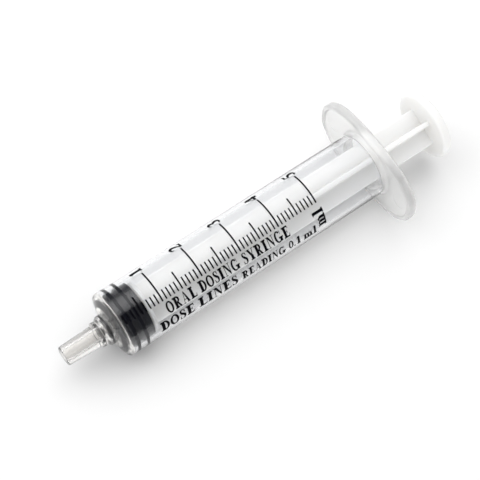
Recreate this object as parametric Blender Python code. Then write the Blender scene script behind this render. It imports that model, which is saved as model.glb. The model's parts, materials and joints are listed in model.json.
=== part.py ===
"""Oral syringe, 5 ml, lying at rest on a flat surface.

The syringe has a clear barrel with an oval finger flange and a tapered nozzle,
a natural plastic plunger rod, and a black rubber stopper snapped onto the rod.
Every piece is first drawn along its own axis: stations run along +X from the
0 ml line towards the thumb press. The finished pieces then lie on the floor,
z = 0, resting on the finger flange and on the front shoulder of the barrel.
All lengths are in metres, angles in radians.
"""

import math

import bmesh
import bpy

MM = 0.001

# Driving dimensions ---------------------------------------------------------
BORE_RADIUS = 5.95 * MM
WALL = 0.90 * MM

NOZZLE_TIP_RADIUS = 2.00 * MM
NOZZLE_LENGTH = 7.4 * MM
NOZZLE_TAPER = 0.03              # radius gained for each unit of length
OUTLET_RADIUS = 1.00 * MM
RECESS_RADIUS = 2.30 * MM        # hollow in the hub that the stopper's tip enters
RECESS_FLOOR = -2.10 * MM

FLANGE_HALF_LENGTH = 14.3 * MM
FLANGE_HALF_WIDTH = 8.7 * MM
FLANGE_SQUARENESS = 2.4          # 2 is an ellipse, more is squarer
FLANGE_FRONT = 60.3 * MM
FLANGE_THICKNESS = 2.0 * MM
RIM_WIDTH = 1.1 * MM
RIM_HEIGHT = 0.3 * MM

PRESS_FRONT = 75.0 * MM
PRESS_THICKNESS = 2.0 * MM
PRESS_RADIUS = 7.28 * MM

ROD_HALF_WIDTH = 4.15 * MM
ROD_DRAFT = 0.10 * MM            # the ribs reach this much further at the front, less at the rear
RIB_THICKNESS = 1.0 * MM
RIB_TURN = math.radians(21)      # how far one rib is turned from straight up

STOPPER_LENGTH = 5.7 * MM        # from the 0 ml edge back to its rear face
SEAL_CLEARANCE = 0.08 * MM
GAP = 0.3 * MM                   # left between pieces that touch on the real object

SEGMENTS = 48

# Worked out from them -------------------------------------------------------
BARREL_RADIUS = BORE_RADIUS + WALL
CONE_SLOPE = math.tan(math.radians(17.5))
CONE_FOOT = 0.15 * MM            # where the bore turns into its conical end
CONE_TOP = CONE_FOOT - CONE_SLOPE * (BORE_RADIUS - RECESS_RADIUS)
SHOULDER_ROUND = 0.8 * MM
SHOULDER = 0.2 * MM              # where the outside becomes a plain cylinder
NOZZLE_ROOT = -3.9 * MM
NOZZLE_TIP = NOZZLE_ROOT - NOZZLE_LENGTH
NOZZLE_ROOT_RADIUS = NOZZLE_TIP_RADIUS + NOZZLE_TAPER * NOZZLE_LENGTH
FLANGE_BACK = FLANGE_FRONT + FLANGE_THICKNESS
REST_TILT = math.atan((FLANGE_HALF_WIDTH - BARREL_RADIUS) / (FLANGE_FRONT + RIM_HEIGHT - SHOULDER))


# Helpers --------------------------------------------------------------------
def clear_scene():
    for thing in list(bpy.data.objects):
        bpy.data.objects.remove(thing, do_unlink=True)


def plastic(name, colour, roughness, alpha=1.0, transmission=0.0):
    """A Principled material of one colour."""
    material = bpy.data.materials.new(name)
    material.use_nodes = True
    shader = material.node_tree.nodes["Principled BSDF"]
    shader.inputs["Base Color"].default_value = (*colour, 1.0)
    shader.inputs["Roughness"].default_value = roughness
    shader.inputs["Metallic"].default_value = 0.0
    shader.inputs["Alpha"].default_value = alpha
    shader.inputs["Transmission Weight"].default_value = transmission
    material.diffuse_color = (*colour, alpha)
    return material


def arc(centre, radius, start, end, steps):
    """Points (station, radius) along an arc; angles in degrees from +X towards outwards."""
    points = []
    for step in range(steps + 1):
        angle = math.radians(start + (end - start) * step / steps)
        points.append((centre[0] + radius * math.cos(angle), centre[1] + radius * math.sin(angle)))
    return points


def turned_mesh(profile, closed):
    """Spin a profile of (station, radius) points once round the X axis."""
    mesh = bmesh.new()
    points = [mesh.verts.new((station, 0.0, radius)) for station, radius in profile]
    edges = [mesh.edges.new(pair) for pair in zip(points, points[1:])]
    if closed:
        edges.append(mesh.edges.new((points[-1], points[0])))
    bmesh.ops.spin(mesh, geom=points + edges, axis=(1, 0, 0), cent=(0, 0, 0),
                   angle=math.tau, steps=SEGMENTS, use_merge=True)
    bmesh.ops.remove_doubles(mesh, verts=mesh.verts, dist=0.001 * MM)
    bmesh.ops.recalc_face_normals(mesh, faces=mesh.faces)
    return mesh


def add_object(name, mesh, material, parent):
    """Make a named object of a bmesh, shaded smooth but for its sharp edges."""
    data = bpy.data.meshes.new(name)
    mesh.to_mesh(data)
    mesh.free()
    data.shade_smooth()
    data.set_sharp_from_angle(angle=math.radians(30))
    data.materials.append(material)
    piece = bpy.data.objects.new(name, data)
    bpy.context.scene.collection.objects.link(piece)
    piece.parent = parent
    return piece


def add_empty(name, parent=None):
    empty = bpy.data.objects.new(name, None)
    bpy.context.scene.collection.objects.link(empty)
    empty.parent = parent
    return empty


def join_solid(target, other):
    """Make one solid of two that overlap; the second one becomes a hidden tool."""
    union = target.modifiers.new("join " + other.name, "BOOLEAN")
    union.operation = "UNION"
    union.solver = "EXACT"
    union.object = other
    other.hide_render = True
    other.display_type = "WIRE"


# Barrel ---------------------------------------------------------------------
def flange_outline(angle):
    """Distance from the axis to the edge of the oval flange; angle 0 is its long axis."""
    along = abs(math.cos(angle)) / FLANGE_HALF_LENGTH
    across = abs(math.sin(angle)) / FLANGE_HALF_WIDTH
    return (along ** FLANGE_SQUARENESS + across ** FLANGE_SQUARENESS) ** (-1 / FLANGE_SQUARENESS)


def barrel_profile():
    """The whole moulding in section: nozzle, shoulder, tube, round flange, bore."""
    chamfer = 0.2 * MM
    edge = FLANGE_HALF_LENGTH
    web_front = FLANGE_FRONT + RIM_HEIGHT
    web_back = FLANGE_BACK - RIM_HEIGHT
    rim_inside = edge - RIM_WIDTH
    rim_round = 0.15 * MM
    root = BARREL_RADIUS + 0.45 * MM
    nozzle = [
        (NOZZLE_TIP, OUTLET_RADIUS),
        (NOZZLE_TIP, NOZZLE_TIP_RADIUS - chamfer),
        (NOZZLE_TIP + chamfer, NOZZLE_TIP_RADIUS),
        (NOZZLE_ROOT, NOZZLE_ROOT_RADIUS),
    ]
    hub = [
        (-3.75 * MM, 2.50 * MM),
        (-3.15 * MM, 2.55 * MM),
        (-2.30 * MM, 3.05 * MM),
        (-1.65 * MM, 3.15 * MM),
        (-1.45 * MM, 3.50 * MM),
    ]
    shoulder = arc((SHOULDER, BARREL_RADIUS - SHOULDER_ROUND), SHOULDER_ROUND, 163, 90, 4)
    flange = [
        (FLANGE_FRONT - 0.9 * MM, BARREL_RADIUS),
        (FLANGE_FRONT - 0.2 * MM, BARREL_RADIUS + 0.12 * MM),
        (web_front, root),
        (web_front, rim_inside),
        (FLANGE_FRONT, rim_inside + rim_round),
        (FLANGE_FRONT, edge - RIM_HEIGHT),
        (web_front, edge),
        (web_back, edge),
        (FLANGE_BACK, edge - RIM_HEIGHT),
        (FLANGE_BACK, rim_inside + rim_round),
        (web_back, rim_inside),
        (web_back, root),
        (FLANGE_BACK, root - 0.2 * MM),
    ]
    bead = 60.1 * MM
    mouth = [
        (FLANGE_BACK, BORE_RADIUS + 0.45 * MM),
        (FLANGE_BACK - 0.9 * MM, BORE_RADIUS),
        (bead + 0.4 * MM, BORE_RADIUS),
        (bead, BORE_RADIUS - 0.23 * MM),
        (bead - 0.4 * MM, BORE_RADIUS),
    ]
    bore_end = [
        (CONE_FOOT, BORE_RADIUS),
        (CONE_TOP, RECESS_RADIUS),
        (RECESS_FLOOR, RECESS_RADIUS),
        (RECESS_FLOOR, OUTLET_RADIUS),
    ]
    return nozzle + hub + shoulder + flange + mouth + bore_end


def make_barrel(material, parent):
    mesh = turned_mesh(barrel_profile(), closed=True)
    lobe_start = BARREL_RADIUS + 0.8 * MM
    for vertex in mesh.verts:
        radius = math.hypot(vertex.co.y, vertex.co.z)
        if radius > lobe_start:
            angle = math.atan2(vertex.co.z, vertex.co.y)
            oval = flange_outline(angle) - (FLANGE_HALF_LENGTH - radius)
            vertex.co.y = oval * math.cos(angle)
            vertex.co.z = oval * math.sin(angle)
    return add_object("barrel", mesh, material, parent)


# Stopper --------------------------------------------------------------------
def make_stopper(material, parent):
    """Hollow rubber stopper: tip, conical nose, two sealing ribs, a socket for the rod's head."""
    seal = BORE_RADIUS - SEAL_CLEARANCE
    land = 5.65 * MM
    groove = 5.40 * MM
    mouth = 2.60 * MM
    socket = 3.50 * MM
    tip = RECESS_FLOOR + 0.25 * MM
    tip_radius = RECESS_RADIUS - 0.25 * MM
    profile = [
        (tip, 0.0),
        (tip, tip_radius - 0.2 * MM),
        (tip + 0.2 * MM, tip_radius),
        (CONE_TOP + 0.06 * MM, tip_radius),
        (CONE_FOOT - 0.03 * MM, 5.45 * MM),
        (0.35 * MM, land),
        (0.80 * MM, land),
        (1.15 * MM, seal),
        (2.00 * MM, seal),
        (2.35 * MM, groove),
        (2.85 * MM, groove),
        (3.20 * MM, seal),
        (4.05 * MM, seal),
        (4.40 * MM, land),
        (STOPPER_LENGTH - 0.2 * MM, land),
        (STOPPER_LENGTH, land - 0.25 * MM),
        (STOPPER_LENGTH, mouth),
        (4.20 * MM, mouth),
        (3.90 * MM, socket),
        (1.40 * MM, socket),
        (1.00 * MM, 2.8 * MM),
        (0.90 * MM, 0.0),
    ]
    return add_object("stopper", turned_mesh(profile, closed=False), material, parent)


# Plunger rod ----------------------------------------------------------------
def make_rod_head(material, parent):
    """The head that snaps into the stopper, its neck, and the disc that pushes on the stopper."""
    disc_front = STOPPER_LENGTH + GAP
    disc_back = disc_front + 0.8 * MM
    disc_radius = 5.2 * MM
    head_radius = 3.2 * MM
    neck_radius = 2.3 * MM
    profile = [
        (1.25 * MM, 0.0),
        (1.25 * MM, 2.3 * MM),
        (1.75 * MM, head_radius),
        (3.30 * MM, head_radius),
        (3.60 * MM, neck_radius),
        (disc_front, neck_radius),
        (disc_front, disc_radius - 0.2 * MM),
        (disc_front + 0.2 * MM, disc_radius),
        (disc_back, disc_radius),
        (disc_back, 0.0),
    ]
    return add_object("rod_head_tool", turned_mesh(profile, closed=False), material, parent), disc_back


def make_thumb_press(material, parent):
    """The round plate at the end of the rod, with a soft edge."""
    soft = 0.45 * MM
    back = PRESS_FRONT + PRESS_THICKNESS
    profile = [(PRESS_FRONT, 0.0)]
    profile += arc((PRESS_FRONT + soft, PRESS_RADIUS - soft), soft, 180, 90, 3)
    profile += arc((back - soft, PRESS_RADIUS - soft), soft, 90, 0, 3)
    profile += [(back, 0.0)]
    return add_object("thumb_press_tool", turned_mesh(profile, closed=False), material, parent)


def make_ribs(front, material, parent):
    """Four ribs in a cross, a little wider at the front, which run into the disc and the press."""
    half = RIB_THICKNESS / 2
    buried = 0.4 * MM
    mesh = bmesh.new()
    outline = []
    for quarter in range(4):
        turn = quarter * math.pi / 2
        for across, along in ((-half, ROD_HALF_WIDTH), (half, ROD_HALF_WIDTH), (half, half)):
            y = across * math.cos(turn) + along * math.sin(turn)
            z = -across * math.sin(turn) + along * math.cos(turn)
            outline.append(mesh.verts.new((front - buried, y, z)))
    face = mesh.faces.new(outline)
    grown = bmesh.ops.extrude_face_region(mesh, geom=[face], use_keep_orig=True)
    far = [item for item in grown["geom"] if isinstance(item, bmesh.types.BMVert)]
    bmesh.ops.translate(mesh, verts=far, vec=(PRESS_FRONT - front + 2 * buried, 0, 0))
    for vertex in mesh.verts:
        draft = -ROD_DRAFT if vertex in far else ROD_DRAFT
        for component in (1, 2):
            if abs(vertex.co[component]) > RIB_THICKNESS:
                vertex.co[component] += math.copysign(draft, vertex.co[component])
    bmesh.ops.recalc_face_normals(mesh, faces=mesh.faces)
    return add_object("plunger_rod", mesh, material, parent)


def make_plunger_rod(material, parent):
    head, disc_back = make_rod_head(material, parent)
    press = make_thumb_press(material, parent)
    rod = make_ribs(disc_back, material, parent)
    join_solid(rod, head)
    join_solid(rod, press)
    return rod


# Placing --------------------------------------------------------------------
def lowest_and_middle(pieces):
    """The middle in X and the lowest Z of the pieces, as they stand in the world."""
    bpy.context.view_layer.update()
    graph = bpy.context.evaluated_depsgraph_get()
    spots = []
    for piece in pieces:
        ready = piece.evaluated_get(graph)
        spots += [piece.matrix_world @ vertex.co for vertex in ready.data.vertices]
    xs = [spot.x for spot in spots]
    return (min(xs) + max(xs)) / 2, min(spot.z for spot in spots)


def main():
    clear_scene()
    clear_plastic = plastic("clear_plastic", (0.86, 0.88, 0.91), 0.12, alpha=0.35, transmission=1.0)
    milky_plastic = plastic("milky_plastic", (0.80, 0.79, 0.76), 0.35)
    black_rubber = plastic("black_rubber", (0.012, 0.013, 0.016), 0.45)

    syringe_axis = add_empty("syringe_axis")
    syringe_axis.rotation_euler = (0, -REST_TILT, 0)
    plunger_slide = add_empty("plunger_slide", syringe_axis)
    rod_turn = add_empty("rod_turn", plunger_slide)
    rod_turn.rotation_euler = (RIB_TURN, 0, 0)

    barrel = make_barrel(clear_plastic, syringe_axis)
    stopper = make_stopper(black_rubber, plunger_slide)
    rod = make_plunger_rod(milky_plastic, rod_turn)

    middle, lowest = lowest_and_middle([barrel, stopper, rod])
    syringe_axis.location = (-middle, 0, -lowest)
    bpy.context.view_layer.update()


main()
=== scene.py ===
# %% [markdown]
# # A 5 ml oral syringe
#
# A disposable syringe is three pieces: a clear barrel, a milky plunger rod, and a black rubber
# stopper snapped onto the rod. Black ink on the barrel makes the scale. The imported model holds
# their sizes and their motion, and this lesson makes their finished surfaces around it.
#
# Nearly all the look of a clear syringe comes from light bending in its wall, so the barrel
# is modelled with its true wall, bore and rounded corners, and the rest follows from that.

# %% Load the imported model
import json
import math

import bpy
from mathutils import Matrix, Vector


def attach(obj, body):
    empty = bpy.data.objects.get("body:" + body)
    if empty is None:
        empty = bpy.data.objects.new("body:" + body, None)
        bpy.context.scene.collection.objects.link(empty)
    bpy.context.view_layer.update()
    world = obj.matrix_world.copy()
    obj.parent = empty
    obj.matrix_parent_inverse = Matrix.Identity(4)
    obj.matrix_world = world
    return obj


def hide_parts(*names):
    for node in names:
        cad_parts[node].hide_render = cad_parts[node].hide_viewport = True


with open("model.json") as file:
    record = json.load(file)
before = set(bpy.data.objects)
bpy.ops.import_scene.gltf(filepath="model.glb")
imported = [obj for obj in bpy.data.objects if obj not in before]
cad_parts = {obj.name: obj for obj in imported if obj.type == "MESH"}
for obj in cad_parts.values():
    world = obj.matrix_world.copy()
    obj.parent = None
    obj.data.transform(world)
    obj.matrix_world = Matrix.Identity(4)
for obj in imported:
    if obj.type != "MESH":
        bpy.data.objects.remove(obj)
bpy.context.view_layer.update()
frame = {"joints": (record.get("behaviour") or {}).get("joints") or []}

MM = 0.001

# %% [markdown]
# The syringe lies on its flange and its front shoulder, so its axis rises a little towards
# the thumb press. The joint that turns the rod holds that axis and the point where the
# scale reads zero. Each piece is drawn along plain X, with stations counted from the zero
# line, and this matrix then lays it on the real axis.

# %% The syringe's own axis
rod_turn = next(joint for joint in frame["joints"] if joint["name"] == "rod_turn")
along = Vector(rod_turn["axis"]).normalized()
sideways = Vector((0, 1, 0))
upright = along.cross(sideways)
ON_AXIS = Matrix((along, sideways, upright)).transposed().to_4x4()
ON_AXIS.translation = Vector(rod_turn["pos_m"])
TILT = math.asin(along.z)
print("axis rises", round(math.degrees(TILT), 2), "degrees")

# %% [markdown]
# The camera looks down from the nozzle's side through a long lens, so the barrel hardly
# tapers in the picture. It is placed before the pieces, so that each can be judged as it
# is made.

# %% Camera
AIM = Vector((-2.9, 0.52, 7.95)) * MM
CAMERA_DISTANCE = 328.8 * MM
CAMERA_TURN = (26.49, -3.53, -36.08)

bpy.ops.object.camera_add(rotation=[math.radians(angle) for angle in CAMERA_TURN])
camera = bpy.context.object
back = camera.rotation_euler.to_matrix() @ Vector((0, 0, 1))
camera.location = AIM + back * CAMERA_DISTANCE
camera.data.lens = 126.8
camera.data.sensor_width = 36
bpy.context.scene.camera = camera
print("camera stands at", [round(value, 3) for value in camera.location])

# %% [markdown]
# ## Helpers for modelling
#
# A turned shape is drawn as half of its section, one extruded point after another, and
# spun round the axis, as on a lathe. A rounded corner is an arc of points.


# %% Edit-mode helpers
def start_edit(piece):
    """Select one piece and open it in edit mode with nothing selected."""
    bpy.ops.object.select_all(action="DESELECT")
    piece.select_set(True)
    bpy.context.view_layer.objects.active = piece
    bpy.ops.object.mode_set(mode="EDIT")
    bpy.ops.mesh.select_all(action="DESELECT")


def end_edit():
    bpy.ops.object.mode_set(mode="OBJECT")


def select_where(piece, kind, test):
    """In edit mode, select the vertices, edges or faces whose place passes the test."""
    bpy.ops.mesh.select_mode(type=kind)
    bpy.ops.mesh.select_all(action="DESELECT")
    end_edit()
    data = piece.data
    if kind == "VERT":
        chosen = [vertex for vertex in data.vertices if test(vertex)]
    elif kind == "EDGE":
        chosen = [edge for edge in data.edges if test(*(data.vertices[i].co for i in edge.vertices))]
    else:
        chosen = [face for face in data.polygons if test(face)]
    for item in chosen:
        item.select = True
    bpy.ops.object.mode_set(mode="EDIT")
    return len(chosen)


def arc(station, radius, bend, start, end, steps):
    """Points on an arc of a section; angles in degrees from the thumb press's direction outwards."""
    points = []
    for step in range(steps + 1):
        angle = math.radians(start + (end - start) * step / steps)
        points.append((station + bend * math.cos(angle), radius + bend * math.sin(angle)))
    return points


def turn_on_lathe(name, section, steps):
    """Draw a section as a chain of points, in millimetres, and spin it round the axis."""
    bpy.ops.object.select_all(action="DESELECT")
    bpy.ops.mesh.primitive_plane_add(size=MM)
    piece = bpy.context.object
    piece.name = name
    bpy.ops.object.mode_set(mode="EDIT")
    bpy.ops.mesh.select_mode(type="VERT")
    bpy.ops.mesh.select_all(action="SELECT")
    bpy.ops.mesh.merge(type="CENTER")
    here = Vector((0, 0, 0))
    for count, (station, radius) in enumerate(section):
        spot = Vector((station, 0, radius)) * MM
        if count == 0:
            bpy.ops.transform.translate(value=spot - here)
        else:
            bpy.ops.mesh.extrude_region_move(TRANSFORM_OT_translate={"value": spot - here})
        here = spot
    bpy.ops.mesh.select_all(action="SELECT")
    bpy.ops.mesh.spin(steps=steps, angle=math.tau, center=(0, 0, 0), axis=(1, 0, 0))
    bpy.ops.mesh.select_all(action="SELECT")
    bpy.ops.mesh.remove_doubles(threshold=0.0005 * MM)
    bpy.ops.mesh.normals_make_consistent(inside=False)
    end_edit()
    return piece


def cut_or_join(piece, tool, operation):
    """Apply a Boolean of the tool to the piece, and remove the tool."""
    boolean = piece.modifiers.new(operation.lower(), "BOOLEAN")
    boolean.operation = operation
    boolean.solver = "EXACT"
    boolean.object = tool
    bpy.ops.object.select_all(action="DESELECT")
    piece.select_set(True)
    bpy.context.view_layer.objects.active = piece
    bpy.ops.object.modifier_apply(modifier=boolean.name)
    bpy.data.objects.remove(tool, do_unlink=True)


def finish_piece(piece, material, body, sharp=30, place=ON_AXIS):
    """Lay the piece on the real axis, shade it, give it its material, and let it ride its body."""
    piece.matrix_world = place
    bpy.ops.object.select_all(action="DESELECT")
    piece.select_set(True)
    bpy.context.view_layer.objects.active = piece
    bpy.ops.object.transform_apply(location=True, rotation=True, scale=True)
    bpy.ops.object.shade_smooth_by_angle(angle=math.radians(sharp))
    piece.data.materials.clear()
    piece.data.materials.append(material)
    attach(piece, body)
    print(piece.name, "has", len(piece.data.polygons), "faces")


# %% [markdown]
# ## Finishes
#
# All three moulded pieces carry faint marks of their mould: long drawn lines along the
# axis and a very fine speckle. One node group makes both, and each material sets how
# strong they are. The Mapping node turns the pattern onto the syringe's axis.


# %% Node group: mould marks
def build_mould_marks():
    group = bpy.data.node_groups.new("mould_marks", "ShaderNodeTree")
    group.interface.new_socket("Line Scale", in_out="INPUT", socket_type="NodeSocketFloat")
    group.interface.new_socket("Speckle Scale", in_out="INPUT", socket_type="NodeSocketFloat")
    group.interface.new_socket("Line Share", in_out="INPUT", socket_type="NodeSocketFloat")
    group.interface.new_socket("Height", in_out="OUTPUT", socket_type="NodeSocketFloat")
    group.interface.new_socket("Haze", in_out="OUTPUT", socket_type="NodeSocketFloat")
    nodes, links = group.nodes, group.links
    inputs = nodes.new("NodeGroupInput")
    outputs = nodes.new("NodeGroupOutput")
    place = nodes.new("ShaderNodeTexCoord")
    turned = nodes.new("ShaderNodeMapping")
    turned.vector_type = "POINT"
    turned.inputs["Rotation"].default_value = (0, TILT, 0)
    links.new(place.outputs["Object"], turned.inputs["Vector"])
    stretched = nodes.new("ShaderNodeMapping")
    stretched.inputs["Scale"].default_value = (0.02, 1, 1)
    links.new(turned.outputs["Vector"], stretched.inputs["Vector"])
    lines = nodes.new("ShaderNodeTexNoise")
    lines.inputs["Detail"].default_value = 3
    links.new(stretched.outputs["Vector"], lines.inputs["Vector"])
    links.new(inputs.outputs["Line Scale"], lines.inputs["Scale"])
    speckle = nodes.new("ShaderNodeTexNoise")
    speckle.inputs["Detail"].default_value = 4
    links.new(turned.outputs["Vector"], speckle.inputs["Vector"])
    links.new(inputs.outputs["Speckle Scale"], speckle.inputs["Scale"])
    blend = nodes.new("ShaderNodeMix")
    blend.data_type = "FLOAT"
    links.new(inputs.outputs["Line Share"], blend.inputs["Factor"])
    links.new(speckle.outputs["Fac"], blend.inputs["A"])
    links.new(lines.outputs["Fac"], blend.inputs["B"])
    haze = nodes.new("ShaderNodeMapRange")
    haze.inputs["From Min"].default_value = 0.35
    haze.inputs["From Max"].default_value = 0.75
    links.new(speckle.outputs["Fac"], haze.inputs["Value"])
    links.new(blend.outputs["Result"], outputs.inputs["Height"])
    links.new(haze.outputs["Result"], outputs.inputs["Haze"])
    return group


MOULD_MARKS = build_mould_marks()


def moulded_material(name, colour, rough, marks, bump, settings):
    """A Principled material with mould marks in its relief and its gloss.

    rough is the (least, most) roughness; marks is (line scale, speckle scale, line share);
    bump is the (strength, distance); settings go straight to the shader's own sockets.
    """
    material = bpy.data.materials.new(name)
    material.use_nodes = True
    nodes, links = material.node_tree.nodes, material.node_tree.links
    shader = nodes["Principled BSDF"]
    shader.inputs["Base Color"].default_value = (*colour, 1)
    for socket, value in settings.items():
        shader.inputs[socket].default_value = value
    group = nodes.new("ShaderNodeGroup")
    group.node_tree = MOULD_MARKS
    for socket, value in zip(("Line Scale", "Speckle Scale", "Line Share"), marks):
        group.inputs[socket].default_value = value
    gloss = nodes.new("ShaderNodeMapRange")
    gloss.inputs["To Min"].default_value, gloss.inputs["To Max"].default_value = rough
    links.new(group.outputs["Haze"], gloss.inputs["Value"])
    links.new(gloss.outputs["Result"], shader.inputs["Roughness"])
    relief = nodes.new("ShaderNodeBump")
    relief.inputs["Strength"].default_value, relief.inputs["Distance"].default_value = bump
    links.new(group.outputs["Height"], relief.inputs["Height"])
    links.new(relief.outputs["Normal"], shader.inputs["Normal"])
    return material


# %% The finishes
clear_plastic = moulded_material(
    "clear_plastic", (0.93, 0.935, 0.945), (0.02, 0.05), (900, 2500, 0.8), (0.10, 0.01 * MM),
    {"Transmission Weight": 1.0, "IOR": 1.49})
thick_plastic = moulded_material(
    "thick_plastic", (0.94, 0.925, 0.905), (0.03, 0.08), (700, 2500, 0.6), (0.10, 0.01 * MM),
    {"Transmission Weight": 0.95, "IOR": 1.49, "Subsurface Weight": 1.0, "Subsurface Radius": (1, 1, 1),
     "Subsurface Scale": 1.5 * MM})
hazy_plastic = moulded_material(
    "hazy_plastic", (0.97, 0.965, 0.955), (0.10, 0.18), (700, 2500, 0.6), (0.10, 0.01 * MM),
    {"Transmission Weight": 0.60, "IOR": 1.49, "Subsurface Weight": 1.0, "Subsurface Radius": (1, 1, 1),
     "Subsurface Scale": 3.0 * MM})
milky_plastic = moulded_material(
    "milky_plastic", (0.80, 0.798, 0.788), (0.28, 0.42), (600, 1800, 0.5), (0.25, 0.03 * MM),
    {"IOR": 1.49, "Subsurface Weight": 1.0, "Subsurface Radius": (1.0, 0.97, 0.9),
     "Subsurface Scale": 4.0 * MM})
black_rubber = moulded_material(
    "black_rubber", (0.003, 0.0035, 0.008), (0.09, 0.20), (700, 3000, 0.3), (0.3, 0.02 * MM),
    {"IOR": 1.45, "Specular IOR Level": 0.25})
black_ink = moulded_material(
    "black_ink", (0.004, 0.004, 0.006), (0.6, 0.85), (800, 4000, 0.2), (0.2, 0.01 * MM),
    {"IOR": 1.35, "Specular IOR Level": 0.05})

# %% [markdown]
# Clear plastic casts only a faint shadow. Light that bends through the wall is slow to trace,
# so the rays that carry lamp light and soft light cross the wall straight, and lose a little
# more where they meet it at a grazing angle, as the real wall's edges do.


# %% Let the light through the clear wall
def let_light_through(material, face_on, grazing):
    """Mix in a Transparent shader for shadow rays and diffuse rays only."""
    nodes, links = material.node_tree.nodes, material.node_tree.links
    rays = nodes.new("ShaderNodeLightPath")
    either = nodes.new("ShaderNodeMath")
    either.operation = "MAXIMUM"
    links.new(rays.outputs["Is Shadow Ray"], either.inputs[0])
    links.new(rays.outputs["Is Diffuse Ray"], either.inputs[1])
    slope = nodes.new("ShaderNodeLayerWeight")
    slope.inputs["Blend"].default_value = 0.3
    loss = nodes.new("ShaderNodeMapRange")
    loss.inputs["To Min"].default_value = face_on
    loss.inputs["To Max"].default_value = grazing
    links.new(slope.outputs["Facing"], loss.inputs["Value"])
    straight = nodes.new("ShaderNodeBsdfTransparent")
    links.new(loss.outputs["Result"], straight.inputs["Color"])
    choose = nodes.new("ShaderNodeMixShader")
    links.new(either.outputs["Value"], choose.inputs["Fac"])
    links.new(nodes["Principled BSDF"].outputs["BSDF"], choose.inputs[1])
    links.new(straight.outputs["BSDF"], choose.inputs[2])
    links.new(choose.outputs["Shader"], nodes["Material Output"].inputs["Surface"])


let_light_through(clear_plastic, face_on=0.99, grazing=0.97)
let_light_through(thick_plastic, face_on=0.75, grazing=0.30)
let_light_through(hazy_plastic, face_on=0.90, grazing=0.55)

# %% [markdown]
# ## The barrel
#
# The barrel is one moulding: a tapered nozzle with its outlet, a hub and a collar, a
# rounded shoulder, the tube, and the finger flange with a raised rim. Its section is drawn
# once, outside and inside together, so that the spun shape is a closed wall.

# %% Barrel section
BORE = 5.95
TUBE = 6.85
NOZZLE_TIP = -11.3
NOZZLE_ROOT = -3.9
OUTLET = 1.0
RECESS = 2.3
RECESS_FLOOR = -2.1
CONE_TOP = -1.0
FLANGE_FRONT = 60.3
FLANGE_BACK = 62.3
FLANGE_LENGTH = 14.3
FLANGE_WIDTH = 8.7
WEB_DEPTH = 0.3

nozzle = [(NOZZLE_TIP + 0.25, OUTLET), (NOZZLE_TIP, OUTLET + 0.12)]
nozzle += arc(NOZZLE_TIP + 0.25, 1.75, 0.25, 180, 92, 5)
nozzle += [(NOZZLE_ROOT - 0.1, 2.22)]
hub = arc(NOZZLE_ROOT + 0.15, 2.52, 0.12, 180, 95, 4)
hub += arc(-3.2, 2.50, 0.12, 80, 0, 4)
hub += [(-2.9, 2.62), (-2.45, 3.0)]
hub += arc(-2.25, 2.98, 0.15, 150, 92, 3)
hub += [(-1.62, 3.16), (-1.50, 3.35)]
shoulder = arc(0.2, TUBE - 0.8, 0.8, 163, 90, 12)
root = TUBE + 0.45
flange_front = arc(FLANGE_FRONT - 0.45, TUBE + 0.75, 0.75, 270, 325, 6)
flange_front += [(FLANGE_FRONT + WEB_DEPTH, root + 0.1)]
rim_round = 0.22
flange_front += [(FLANGE_FRONT + WEB_DEPTH, FLANGE_LENGTH - 1.2)]
flange_front += arc(FLANGE_FRONT + rim_round, FLANGE_LENGTH - 0.85, rim_round, 225, 180, 3)
flange_front += arc(FLANGE_FRONT + 0.55, FLANGE_LENGTH - 0.55, 0.55, 180, 90, 6)
flange_back = arc(FLANGE_BACK - 0.55, FLANGE_LENGTH - 0.55, 0.55, 90, 0, 6)
flange_back += arc(FLANGE_BACK - rim_round, FLANGE_LENGTH - 0.85, rim_round, 0, -45, 3)
flange_back += [(FLANGE_BACK - WEB_DEPTH, FLANGE_LENGTH - 1.2), (FLANGE_BACK - WEB_DEPTH, root + 0.1)]
mouth = arc(FLANGE_BACK - 0.2, root - 0.25, 0.2, 80, 0, 3)
mouth += arc(FLANGE_BACK - 0.35, BORE + 0.75, 0.35, 0, -60, 4)
mouth += [(FLANGE_BACK - 1.3, BORE)]
bead = arc(60.1, BORE + 0.15, 0.38, -25, -155, 6)
end_cone = arc(0.55, BORE - 0.4, 0.4, 90, 163, 5)
end_cone += [(CONE_TOP, RECESS), (RECESS_FLOOR, RECESS), (RECESS_FLOOR, OUTLET)]
barrel_section = nozzle + hub + shoulder + flange_front + flange_back + mouth + bead + end_cone
barrel_section.append(barrel_section[0])
print("barrel section has", len(barrel_section), "points")

# %% [markdown]
# The lathe makes the flange round. The real one is a rounded oblong, so every point beyond
# the tube is drawn in towards the axis by the same amount as the edge behind it, which
# keeps the rim's section the same all the way round.

# %% Spin the barrel and shape its flange
barrel = turn_on_lathe("clear_barrel", barrel_section, 192)


def flange_edge(angle):
    """Distance from the axis to the flange's edge; angle 0 is its long way."""
    squareness = 2.4
    long_way = abs(math.cos(angle)) / FLANGE_LENGTH
    short_way = abs(math.sin(angle)) / FLANGE_WIDTH
    return (long_way ** squareness + short_way ** squareness) ** (-1 / squareness)


for vertex in barrel.data.vertices:
    out = math.hypot(vertex.co.y, vertex.co.z)
    if out > (root + 0.3) * MM:
        angle = math.atan2(vertex.co.z, vertex.co.y)
        drawn_in = out - (FLANGE_LENGTH - flange_edge(angle)) * MM
        vertex.co.y = drawn_in * math.cos(angle)
        vertex.co.z = drawn_in * math.sin(angle)

# %% [markdown]
# Ejector pins push the moulding out of its mould at the two ends of the flange, and leave
# a shallow round dent in each.

# %% Ejector marks
PIN_RADIUS = 1.6
PIN_CENTRE = FLANGE_FRONT + WEB_DEPTH - 0.19
PIN_FROM_AXIS = 10.6

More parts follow.
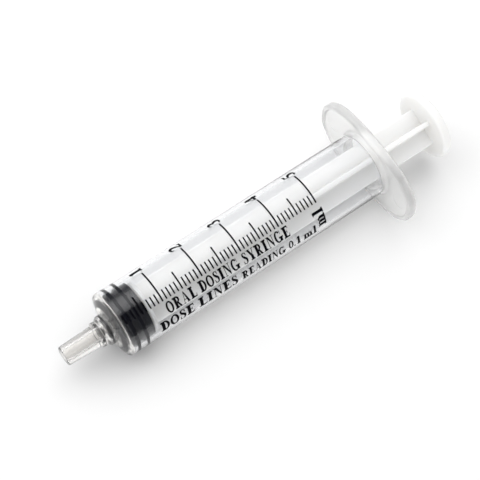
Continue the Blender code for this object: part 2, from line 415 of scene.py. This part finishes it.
for side in (-1, 1):
    bpy.ops.mesh.primitive_cylinder_add(
        vertices=48, radius=PIN_RADIUS * MM, depth=0.5 * MM,
        location=Vector((PIN_CENTRE, side * PIN_FROM_AXIS, 0)) * MM, rotation=(0, math.pi / 2, 0))
    pin = bpy.context.object
    cut_or_join(barrel, pin, "DIFFERENCE")

# %% [markdown]
# The tube's thin wall is clear. The nozzle and its hub are thicker, and the same plastic
# looks a little creamy there. The flange looks hazy. So three finishes share the one
# moulding, and each face takes its finish from its place along the syringe.

# %% Clear tube, thick nozzle, hazy flange
THICK_UP_TO = 6.0
HAZY_FROM = 59.3

thick_faces = [face.index for face in barrel.data.polygons if face.center.x < THICK_UP_TO * MM]
hazy_faces = [face.index for face in barrel.data.polygons if face.center.x > HAZY_FROM * MM]
finish_piece(barrel, clear_plastic, "barrel", sharp=25)
for finish, indices in ((thick_plastic, thick_faces), (hazy_plastic, hazy_faces)):
    barrel.data.materials.append(finish)
    for index in indices:
        barrel.data.polygons[index].material_index = len(barrel.data.materials) - 1
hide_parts("barrel")

# %% [markdown]
# ## The stopper
#
# The stopper is one black rubber moulding, hollow so that it squeezes outwards. Its two
# sealing ribs are wider than the bore and are pressed flat against it, and the plastic
# there turns black from edge to edge, because light meets the rubber with no air between.
# The short tip on the stopper's nose touches the recess in the hub for the same reason.

# %% Stopper
SEAL = BORE + 0.006
LAND = 5.62
GROOVE = 5.35
TIP = RECESS + 0.006
stopper_section = [(RECESS_FLOOR + 0.1, 0), (RECESS_FLOOR + 0.1, TIP - 0.15)]
stopper_section += [(RECESS_FLOOR + 0.25, TIP), (CONE_TOP - 0.05, TIP), (CONE_TOP + 0.08, TIP - 0.1)]
stopper_section += arc(0.33, 5.27, 0.35, 163, 90, 5)
stopper_section += [(0.85, LAND)]
stopper_section += arc(1.25, SEAL - 0.22, 0.22, 160, 90, 4)
stopper_section += arc(1.85, SEAL - 0.22, 0.22, 90, 20, 4)
stopper_section += arc(2.62, GROOVE + 0.35, 0.35, 235, 305, 5)
stopper_section += arc(3.35, SEAL - 0.22, 0.22, 160, 90, 4)
stopper_section += arc(3.90, SEAL - 0.22, 0.22, 90, 20, 4)
stopper_section += [(4.35, LAND)]
stopper_section += arc(5.50, LAND - 0.2, 0.2, 90, 0, 4)
stopper_section += [(5.7, 2.6), (4.2, 2.6), (3.9, 3.5), (1.4, 3.5), (1.0, 2.8), (0.9, 0)]
stopper = turn_on_lathe("rubber_stopper", stopper_section, 192)
finish_piece(stopper, black_rubber, "stopper")
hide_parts("stopper")

# %% [markdown]
# ## The plunger rod
#
# The rod starts as a square core. Its four long sides are pulled out into ribs, which are
# a little wider at the front. The inner corners and the rib tips are then rounded.

# %% Ribs
ROD_FRONT = 6.4
PRESS_FRONT = 75.0
PRESS_BACK = 77.0
PRESS_RADIUS = 7.28
RIB = 1.0
RIB_REACH = 4.05
RIB_TURN = math.radians(21)

rod_length = PRESS_FRONT - ROD_FRONT + 0.6
bpy.ops.object.select_all(action="DESELECT")
bpy.ops.mesh.primitive_cube_add(size=1, location=((ROD_FRONT + rod_length / 2) * MM, 0, 0))
rod = bpy.context.object
rod.name = "milky_rod"
rod.scale = (rod_length * MM, RIB * MM, RIB * MM)
bpy.ops.object.transform_apply(location=True, rotation=True, scale=True)
start_edit(rod)
along_x = Vector((1, 0, 0))
for outward in (Vector((0, 1, 0)), Vector((0, 0, 1)), Vector((0, -1, 0)), Vector((0, 0, -1))):
    beside = along_x.cross(outward)
    select_where(rod, "FACE", lambda face: face.normal.dot(outward) > 0.9
                 and abs(face.center.dot(beside)) < 0.1 * MM)
    pull = outward * (RIB_REACH - RIB / 2) * MM
    bpy.ops.mesh.extrude_region_move(TRANSFORM_OT_translate={"value": pull})
select_where(rod, "VERT", lambda vertex: vertex.co.x < 10 * MM)
bpy.ops.transform.resize(value=(1, 1.05, 1.05), center_override=(0, 0, 0))


def is_long_edge(a, b):
    return abs(a.x - b.x) > 30 * MM


select_where(rod, "EDGE", lambda a, b: is_long_edge(a, b) and math.hypot(a.y, a.z) > 2 * MM)
bpy.ops.mesh.bevel(offset=0.28 * MM, segments=4, affect="EDGES")
select_where(rod, "EDGE", lambda a, b: is_long_edge(a, b) and math.hypot(a.y, a.z) < 1 * MM)
bpy.ops.mesh.bevel(offset=0.35 * MM, segments=4, affect="EDGES")
end_edit()

# %% [markdown]
# The thumb press is a round plate with a full soft edge. The disc that pushes on the
# stopper and the head that snaps into it are turned as one shape. Both are joined to the
# ribs, as they are one moulding.

# %% Thumb press, disc and head
press_section = [(PRESS_FRONT, 0)]
press_section += arc(PRESS_FRONT + 0.6, PRESS_RADIUS - 0.6, 0.6, 180, 90, 8)
press_section += arc(PRESS_BACK - 0.7, PRESS_RADIUS - 0.7, 0.7, 90, 0, 8)
press_section += [(PRESS_BACK, 4.6), (PRESS_BACK - 0.08, 4.3), (PRESS_BACK - 0.08, 0)]
press = turn_on_lathe("press", press_section, 160)
cut_or_join(rod, press, "UNION")

head_section = [(1.25, 0), (1.25, 2.3), (1.75, 3.1)]
head_section += arc(3.2, 3.1, 0.1, 90, 0, 3)
head_section += [(3.6, 2.3), (6.0, 2.3), (6.0, 5.0)]
head_section += arc(6.3, 4.95, 0.25, 150, 90, 3)
head_section += arc(6.55, 4.95, 0.25, 90, 0, 3)
head_section += [(6.8, 0)]
head = turn_on_lathe("head", head_section, 128)
cut_or_join(rod, head, "UNION")

finish_piece(rod, milky_plastic, "plunger_rod", sharp=30,
             place=ON_AXIS @ Matrix.Rotation(RIB_TURN, 4, "X"))
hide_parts("plunger_rod")

# %% [markdown]
# ## The printed scale
#
# The ink is a film that follows the barrel. Flat marks are drawn on a sheet, with X along
# the syringe and Y round it, given a hair of thickness, and rolled onto the tube.

# %% Rolling the print onto the barrel
MILLILITRE = 9.0
INK_LIFT = 0.004
INK_FILM = 0.012


def roll_onto_tube(piece):
    """Bend a thin flat piece round the tube: Y becomes an angle, Z the height above it."""
    for vertex in piece.data.vertices:
        radius = (TUBE + INK_LIFT) * MM + vertex.co.z
        angle = vertex.co.y / (TUBE * MM)
        vertex.co = Vector((vertex.co.x, radius * math.sin(angle), radius * math.cos(angle)))


def on_sheet(angle):
    """Y on the flat sheet, in millimetres, of an angle from straight up towards the reader."""
    return -math.radians(angle) * TUBE


def join_print(marks, name):
    """Join flat marks into one, cut it in narrow strips that can bend, and roll it on."""
    bpy.ops.object.select_all(action="DESELECT")
    for mark in marks:
        mark.select_set(True)
    bpy.context.view_layer.objects.active = marks[0]
    bpy.ops.object.join()
    joined = bpy.context.object
    joined.name = name
    sheet = [vertex.co.y for vertex in joined.data.vertices]
    strip = 0.28 * MM
    start_edit(joined)
    for cut in range(math.ceil(min(sheet) / strip), math.ceil(max(sheet) / strip)):
        bpy.ops.mesh.select_all(action="SELECT")
        bpy.ops.mesh.bisect(plane_co=(0, cut * strip, 0), plane_no=(0, 1, 0), threshold=1e-8)
    end_edit()
    roll_onto_tube(joined)
    finish_piece(joined, black_ink, "barrel")
    return joined


# %% Scale lines
LINE_END = 31.0
LINE_STARTS = {"long": -31.0, "medium": -1.0, "short": 14.0}
LINE_WIDTHS = {"long": 0.34, "medium": 0.32, "short": 0.30}

scale_lines = []
for tenth in range(1, 51):
    kind = "long" if tenth % 10 == 0 else "medium" if tenth % 5 == 0 else "short"
    low, high = on_sheet(LINE_END), on_sheet(LINE_STARTS[kind])
    bpy.ops.object.select_all(action="DESELECT")
    bpy.ops.mesh.primitive_cube_add(size=1)
    line = bpy.context.object
    line.scale = Vector((LINE_WIDTHS[kind], high - low, INK_FILM)) * MM
    line.location = Vector((tenth * MILLILITRE / 10, (low + high) / 2, INK_FILM / 2)) * MM
    bpy.ops.object.transform_apply(location=True, rotation=True, scale=True)
    scale_lines.append(line)
join_print(scale_lines, "scale_lines")

# %% [markdown]
# ## The printed letters
#
# The figures and words are in a bold letter with serifs. Blender's own font has none, so
# each letter is built as a sign writer would: heavy stems, light arms, oval bowls and
# curved sweeps. Every stroke is an outline in a letter one unit high. The words are plain
# ones that fit any syringe for medicine given by mouth.

# %% Outlines of strokes
STEM = 0.27
THIN = 0.13
FIGURE_WEIGHT = 1.35


def bar(left, low, right, high):
    return [(left, low), (right, low), (right, high), (left, high)]


def stem(left, low=0.0, high=1.0, foot=True, head=True):
    """An upright with a slab serif at its foot and its head."""
    shapes = [bar(left, low, left + STEM, high)]
    if foot:
        shapes.append(bar(left - 0.09, low, left + STEM + 0.09, low + THIN))
    if head:
        shapes.append(bar(left - 0.09, high - THIN, left + STEM + 0.09, high))
    return shapes


def bowl(centre, reach, weight, start, end):
    """Part of an oval ring, heavy at its sides and light at its top; angles in degrees."""
    steps = max(4, round(abs(end - start) / 15))
    turns = [math.radians(start + (end - start) * step / steps) for step in range(steps + 1)]

    def oval(across, up):
        return [(centre[0] + across * math.cos(turn), centre[1] + up * math.sin(turn)) for turn in turns]

    return oval(*reach) + oval(reach[0] - weight[0], reach[1] - weight[1])[::-1]


def sweep(*path, heavier=1.0):
    """A curved stroke through points of (x, y, weight), as a broad pen would draw it."""
    path = tuple((x, y, weight * heavier) for x, y, weight in path)
    smooth = []
    for before, here, after, beyond in zip((path[0],) + path, path, path[1:], path[2:] + (path[-1],)):
        for step in range(4):
            t = step / 4
            smooth.append([0.5 * (2 * b + (c - a) * t + (2 * a - 5 * b + 4 * c - d) * t ** 2
                                  + (3 * b - a - 3 * c + d) * t ** 3)
                           for a, b, c, d in zip(before, here, after, beyond)])
    smooth.append(list(path[-1]))
    left, right = [], []
    for number, (x, y, weight) in enumerate(smooth):
        back_x, back_y, _ = smooth[max(number - 1, 0)]
        next_x, next_y, _ = smooth[min(number + 1, len(smooth) - 1)]
        run, rise = next_x - back_x, next_y - back_y
        half = weight / 2 / math.hypot(run, rise)
        left.append((x - rise * half, y + run * half))
        right.append((x + rise * half, y - run * half))
    return left + right[::-1]


# %% The letters and figures that the print needs
low_arm = [(0.40, 0.03), (0.66, 0.0), (0.69, 0.30), (0.65, 0.30), (0.60, 0.15), (0.52, 0.06)]
high_arm = [(0.40, 0.97), (0.64, 1.0), (0.65, 0.74), (0.61, 0.74), (0.57, 0.87), (0.50, 0.94)]
LETTERS = {
    "I": stem(0.09),
    "L": stem(0.09) + [bar(0.1, 0, 0.66, THIN), low_arm],
    "E": stem(0.09) + [bar(0.1, 0, 0.66, THIN), low_arm, bar(0.1, 1 - THIN, 0.64, 1), high_arm,
                       bar(0.2, 0.48, 0.50, 0.54), bar(0.46, 0.36, 0.50, 0.66)],
    "R": stem(0.09) + [bar(0.2, 1 - THIN, 0.42, 1), bar(0.2, 0.46, 0.42, 0.52),
                       bowl((0.38, 0.73), (0.29, 0.27), (0.19, THIN), -90, 90),
                       [(0.32, 0.50), (0.50, 0.50), (0.74, 0.02), (0.53, 0.02)],
                       bar(0.55, 0, 0.80, 0.05)],
    "D": stem(0.09) + [bar(0.2, 1 - THIN, 0.40, 1), bar(0.2, 0, 0.40, THIN),
                       bowl((0.36, 0.5), (0.39, 0.5), (0.20, THIN), -90, 90)],
    "O": [bowl((0.38, 0.5), (0.38, 0.52), (0.20, THIN), 0, 180),
          bowl((0.38, 0.5), (0.38, 0.52), (0.20, THIN), 180, 360)],
    "G": [bowl((0.38, 0.5), (0.38, 0.52), (0.20, THIN), 42, 300), bar(0.66, 0.66, 0.70, 1.0)]
         + stem(0.53, 0.03, 0.45, foot=False),
    "S": [sweep((0.44, 0.74, 0.04), (0.38, 0.91, 0.07), (0.26, 0.97, 0.06), (0.13, 0.88, 0.15),
                (0.13, 0.71, 0.18), (0.27, 0.56, 0.21), (0.41, 0.42, 0.21), (0.43, 0.24, 0.18),
                (0.36, 0.08, 0.13), (0.22, 0.03, 0.06), (0.11, 0.11, 0.07), (0.05, 0.30, 0.04)),
          bar(0.43, 0.70, 0.47, 1.0), bar(0.03, 0, 0.07, 0.33)],
    "N": [bar(0.12, 0, 0.18, 1), bar(0, 0, 0.30, 0.05), bar(0, 0.95, 0.20, 1),
          bar(0.62, 0, 0.68, 1), bar(0.50, 0.95, 0.80, 1),
          [(0.10, 1.0), (0.32, 1.0), (0.68, 0.20), (0.68, -0.02), (0.62, -0.02)]],
    "A": [[(0.33, 1.0), (0.43, 1.0), (0.74, 0.02), (0.51, 0.02)],
          [(0.32, 0.93), (0.38, 1.0), (0.17, 0.02), (0.10, 0.02)],
          bar(0.18, 0.30, 0.56, 0.36), bar(0, 0, 0.27, 0.05), bar(0.42, 0, 0.82, 0.05)],
    "Y": stem(0.30, 0, 0.46, head=False) + [[(0.06, 0.97), (0.29, 0.97), (0.49, 0.44), (0.30, 0.42)],
                                            [(0.60, 0.97), (0.67, 0.97), (0.48, 0.42), (0.42, 0.46)],
                                            bar(0, 0.95, 0.36, 1), bar(0.52, 0.95, 0.77, 1)],
    "0": [bowl((0.31, 0.5), (0.30, 0.51), (0.18, THIN), 0, 180),
          bowl((0.31, 0.5), (0.30, 0.51), (0.18, THIN), 180, 360)],
    "1": stem(0.22, head=False) + [[(0.06, 0.85), (0.36, 1.0), (0.40, 0.97), (0.24, 0.80)]],
    "2": [sweep((0.06, 0.70, 0.05), (0.13, 0.87, 0.12), (0.28, 0.93, 0.14), (0.42, 0.84, 0.19),
                (0.45, 0.69, 0.20), (0.37, 0.48, 0.15), (0.22, 0.27, 0.10), (0.10, 0.13, 0.09),
                heavier=FIGURE_WEIGHT),
          bar(0.04, 0, 0.55, 0.15),
          [(0.48, 0.0), (0.56, 0.0), (0.61, 0.27), (0.57, 0.27), (0.50, 0.15)]],
    "3": [sweep((0.07, 0.76, 0.05), (0.15, 0.91, 0.10), (0.29, 0.93, 0.14), (0.41, 0.82, 0.18),
                (0.39, 0.66, 0.15), (0.26, 0.55, 0.07), (0.20, 0.53, 0.05), heavier=FIGURE_WEIGHT),
          sweep((0.20, 0.54, 0.05), (0.36, 0.49, 0.13), (0.46, 0.32, 0.20), (0.41, 0.13, 0.17),
                (0.27, 0.04, 0.10), (0.14, 0.05, 0.10), (0.05, 0.12, 0.11), heavier=FIGURE_WEIGHT)],
    "4": [bar(0.30, 0, 0.54, 1), bar(0.01, 0.18, 0.62, 0.36),
          [(0.36, 1.0), (0.45, 1.0), (0.10, 0.30), (0.01, 0.30)]],
    "5": [[(0.12, 0.99), (0.19, 0.99), (0.14, 0.56), (0.07, 0.56)],
          [(0.13, 0.84), (0.48, 0.84), (0.54, 1.01), (0.13, 0.99)],
          sweep((0.07, 0.57, 0.06), (0.22, 0.60, 0.12), (0.38, 0.50, 0.18), (0.45, 0.32, 0.20),
                (0.39, 0.13, 0.16), (0.25, 0.04, 0.10), (0.13, 0.05, 0.10), (0.05, 0.12, 0.11),
                heavier=FIGURE_WEIGHT)],
    ".": [bar(0.02, 0, 0.20, 0.17)],
    "m": [shape for left in (0.09, 0.47, 0.85) for shape in stem(left, 0, 0.52, head=False)]
         + [bar(0.09, 0.5, 0.28, 0.68), [(0.0, 0.63), (0.28, 0.60), (0.28, 0.70), (0.0, 0.68)]]
         + [bowl((centre, 0.47), (0.22, 0.22), (0.19, 0.12), 0, 150) for centre in (0.44, 0.82)],
    "l": stem(0.09, head=False) + [[(0.0, 0.93), (0.28, 0.90), (0.28, 1.02), (0.0, 0.98)]],
}

# %% [markdown]
# A stroke becomes a thin slab: a filled circle with as many corners as the outline, whose
# corners are laid on the outline, and which is then extruded. The strokes of one letter
# overlap, so they are joined into one solid, and every use of the letter is a copy of it.


# %% Letter patterns
def ink_slab(outline):
    bpy.ops.object.select_all(action="DESELECT")
    bpy.ops.mesh.primitive_circle_add(vertices=len(outline), fill_type="NGON")
    slab = bpy.context.object
    for vertex, (x, y) in zip(slab.data.vertices, outline):
        vertex.co = (x, y, 0)
    start_edit(slab)
    bpy.ops.mesh.select_all(action="SELECT")
    bpy.ops.mesh.extrude_region_move(TRANSFORM_OT_translate={"value": (0, 0, 1)})
    bpy.ops.mesh.select_all(action="SELECT")
    bpy.ops.mesh.normals_make_consistent(inside=False)
    end_edit()
    return slab


patterns = {}
letter_widths = {" ": 0.26}
for name, strokes in LETTERS.items():
    patterns[name] = ink_slab(strokes[0])
    for stroke in strokes[1:]:
        cut_or_join(patterns[name], ink_slab(stroke), "UNION")
    letter_widths[name] = max(vertex.co.x for vertex in patterns[name].data.vertices)
print("made", len(patterns), "letter patterns")

# %% [markdown]
# The figures and the unit stand across the syringe, with their tops towards the nozzle.
# The two rows of words run along it, below the scale.

# %% Print the words
LETTER_SPACE = 0.08


def print_words(words, start, height, length, turned):
    """Copy patterns onto the sheet from start, in millimetres, and stretch them to the length."""
    natural = sum(letter_widths[letter] + LETTER_SPACE for letter in words) - LETTER_SPACE
    stretch = length / natural
    corner = Matrix.Translation(Vector((*start, 0)) * MM) @ Matrix.Rotation(math.pi / 2 * turned, 4, "Z")
    size = Matrix.Diagonal((stretch * MM, height * MM, INK_FILM * MM, 1))
    pen, copies = 0.0, []
    for letter in words:
        if letter != " ":
            bpy.ops.object.select_all(action="DESELECT")
            patterns[letter].select_set(True)
            bpy.context.view_layer.objects.active = patterns[letter]
            bpy.ops.object.duplicate()
            copy = bpy.context.object
            copy.matrix_world = corner @ Matrix.Translation((pen * MM, 0, 0)) @ size
            bpy.ops.object.transform_apply(location=True, rotation=True, scale=True)
            copies.append(copy)
        pen += (letter_widths[letter] + LETTER_SPACE) * stretch
    return copies


FIGURE_ANGLE = -41
FIGURE_STRETCH = 3.0

print_marks = []
for number in range(1, 6):
    width = letter_widths[str(number)] * FIGURE_STRETCH
    foot = (number * MILLILITRE + 0.6, on_sheet(FIGURE_ANGLE) - width / 2)
    print_marks += print_words(str(number), foot, height=2.6, length=width, turned=True)
for words, station, angle, height, length, turned in (
        ("ml", 45.6, 76, 2.5, 4.2, True),
        ("ORAL DOSING SYRINGE", 8.9, 55.5, 2.45, 28.6, False),
        ("DOSE LINES", 6.5, 83.5, 2.6, 17.8, False),
        ("READING 0.1 ml", 25.4, 83.5, 2.2, 17.8, False)):
    print_marks += print_words(words, (station, on_sheet(angle)), height, length, turned)
for pattern in patterns.values():
    bpy.data.objects.remove(pattern, do_unlink=True)
join_print(print_marks, "printed_words")

# %% [markdown]
# ## Floor and light
#
# The syringe lies on white paper under a wide soft light. The room round it is set by the
# kind of ray that sees it. Soft light reaches the paper from every side. Reflections see
# a dark room, which keeps the rubber black. Rays bent at one or two surfaces of the clear
# wall see a pale room, and rays bent more often see dark sides, which draws the edges of
# the tube. So this is a light made for one look, and not the light of a real room.

# %% Floor
bpy.ops.mesh.primitive_plane_add(size=1.6, location=(0, 0, 0))
floor = bpy.context.object
floor.name = "paper_floor"
paper = bpy.data.materials.new("paper")
paper.use_nodes = True
paper.node_tree.nodes["Principled BSDF"].inputs["Base Color"].default_value = (0.93, 0.93, 0.93, 1)
paper.node_tree.nodes["Principled BSDF"].inputs["Roughness"].default_value = 0.9
paper.node_tree.nodes["Principled BSDF"].inputs["Specular IOR Level"].default_value = 0.0
floor.data.materials.append(paper)

# %% World light
world = bpy.data.worlds.new("studio")
bpy.context.scene.world = world
world.use_nodes = True
nodes, links = world.node_tree.nodes, world.node_tree.links
direction = nodes.new("ShaderNodeTexCoord")
compass = nodes.new("ShaderNodeSeparateXYZ")
links.new(direction.outputs["Generated"], compass.inputs["Vector"])


def fade(part, start, end):
    """0 to 1 as one part of a ray's direction goes from start to end."""
    ramp = nodes.new("ShaderNodeMapRange")
    ramp.interpolation_type = "SMOOTHSTEP"
    ramp.inputs["From Min"].default_value = start
    ramp.inputs["From Max"].default_value = end
    links.new(part, ramp.inputs["Value"])
    return ramp.outputs["Result"]


def grey_background(grey):
    plain = nodes.new("ShaderNodeBackground")
    plain.inputs["Color"].default_value = (grey, grey, grey, 1)
    return plain.outputs["Background"]


def mix_backgrounds(factor, first, second):
    choose = nodes.new("ShaderNodeMixShader")
    links.new(factor, choose.inputs["Fac"])
    links.new(first, choose.inputs[1])
    links.new(second, choose.inputs[2])
    return choose.outputs["Shader"]


toward_press, toward_back = compass.outputs["X"], compass.outputs["Y"]
to_either_side = nodes.new("ShaderNodeMath")
to_either_side.operation = "ABSOLUTE"
links.new(toward_back, to_either_side.inputs[0])

MANY_SURFACES = 2.5
rays = nodes.new("ShaderNodeLightPath").outputs
deep = nodes.new("ShaderNodeMath")
deep.operation = "GREATER_THAN"
deep.inputs[1].default_value = MANY_SURFACES
links.new(rays["Transmission Depth"], deep.inputs[0])

dark_wall = grey_background(0.03)
mirrored = mix_backgrounds(fade(toward_back, -0.2, 0.4), dark_wall, grey_background(0.12))
bent_less = mix_backgrounds(fade(toward_back, -0.25, 0.0), grey_background(0.40), grey_background(0.78))
bent_more = mix_backgrounds(fade(to_either_side.outputs["Value"], 0.05, 0.3),
                            grey_background(0.30), dark_wall)
bent = mix_backgrounds(deep.outputs["Value"], bent_less, bent_more)
bent = mix_backgrounds(fade(toward_press, 0.0, -0.2), bent, grey_background(0.80))
bent = mix_backgrounds(fade(toward_press, 0.6, 0.8), bent, grey_background(0.80))
near_side = mix_backgrounds(fade(toward_back, -0.6, 0.6), grey_background(0.70), grey_background(0.88))
far_side = mix_backgrounds(fade(toward_back, -0.6, 0.6), grey_background(0.52), grey_background(0.62))
ambient = mix_backgrounds(fade(toward_press, -0.6, 0.6), near_side, far_side)
shown = mix_backgrounds(rays["Is Diffuse Ray"], mirrored, ambient)
shown = mix_backgrounds(rays["Is Transmission Ray"], shown, bent)
shown = mix_backgrounds(rays["Is Camera Ray"], shown, grey_background(0.98))
links.new(shown, nodes["World Output"].inputs["Surface"])

# %% [markdown]
# The softbox is brightest along its middle and fades towards its long edges, so its
# reflection on the wall has soft borders.

# %% Softbox
bpy.ops.object.light_add(type="AREA", location=(0, 0.26, 0.56), rotation=(math.radians(-25), 0, 0))
softbox = bpy.context.object
softbox.name = "softbox"
softbox.data.shape = "RECTANGLE"
softbox.data.size = 1.4
softbox.data.size_y = 0.80
softbox.data.energy = 5.5
softbox.data.use_nodes = True
nodes, links = softbox.data.node_tree.nodes, softbox.data.node_tree.links
where = nodes.new("ShaderNodeNewGeometry")
across = nodes.new("ShaderNodeSeparateXYZ")
links.new(where.outputs["Parametric"], across.inputs["Vector"])
edge = nodes.new("ShaderNodeFloatCurve")
for spot, height in ((0.2, 0.6), (0.5, 1.0), (0.8, 0.6)):
    edge.mapping.curves[0].points.new(spot, height)
edge.mapping.curves[0].points[-1].location = (1, 0)
edge.mapping.update()
links.new(across.outputs["Y"], edge.inputs["Value"])
links.new(edge.outputs["Value"], nodes["Emission"].inputs["Strength"])

# Plain whites and blacks, with no film-like curve over them.
bpy.context.scene.view_settings.view_transform = "Standard"

# %% [markdown]
# Inside the tube the milky rod comes out too dark under this light. A weak lamp on the
# near side, which lights the rod alone, makes up for most of that.

# %% Fill light for the milky rod
bpy.ops.object.light_add(type="AREA", location=(-0.1, -0.45, 0.25),
                         rotation=(math.radians(61), 0, math.radians(-12)))
fill = bpy.context.object
fill.name = "rod_fill"
fill.data.size = 0.6
fill.data.energy = 1.0
fill.visible_glossy = False
fill.visible_transmission = False
fill.visible_camera = False
lit_alone = bpy.data.collections.new("lit_by_rod_fill")
lit_alone.objects.link(rod)
fill.light_linking.receiver_collection = lit_alone
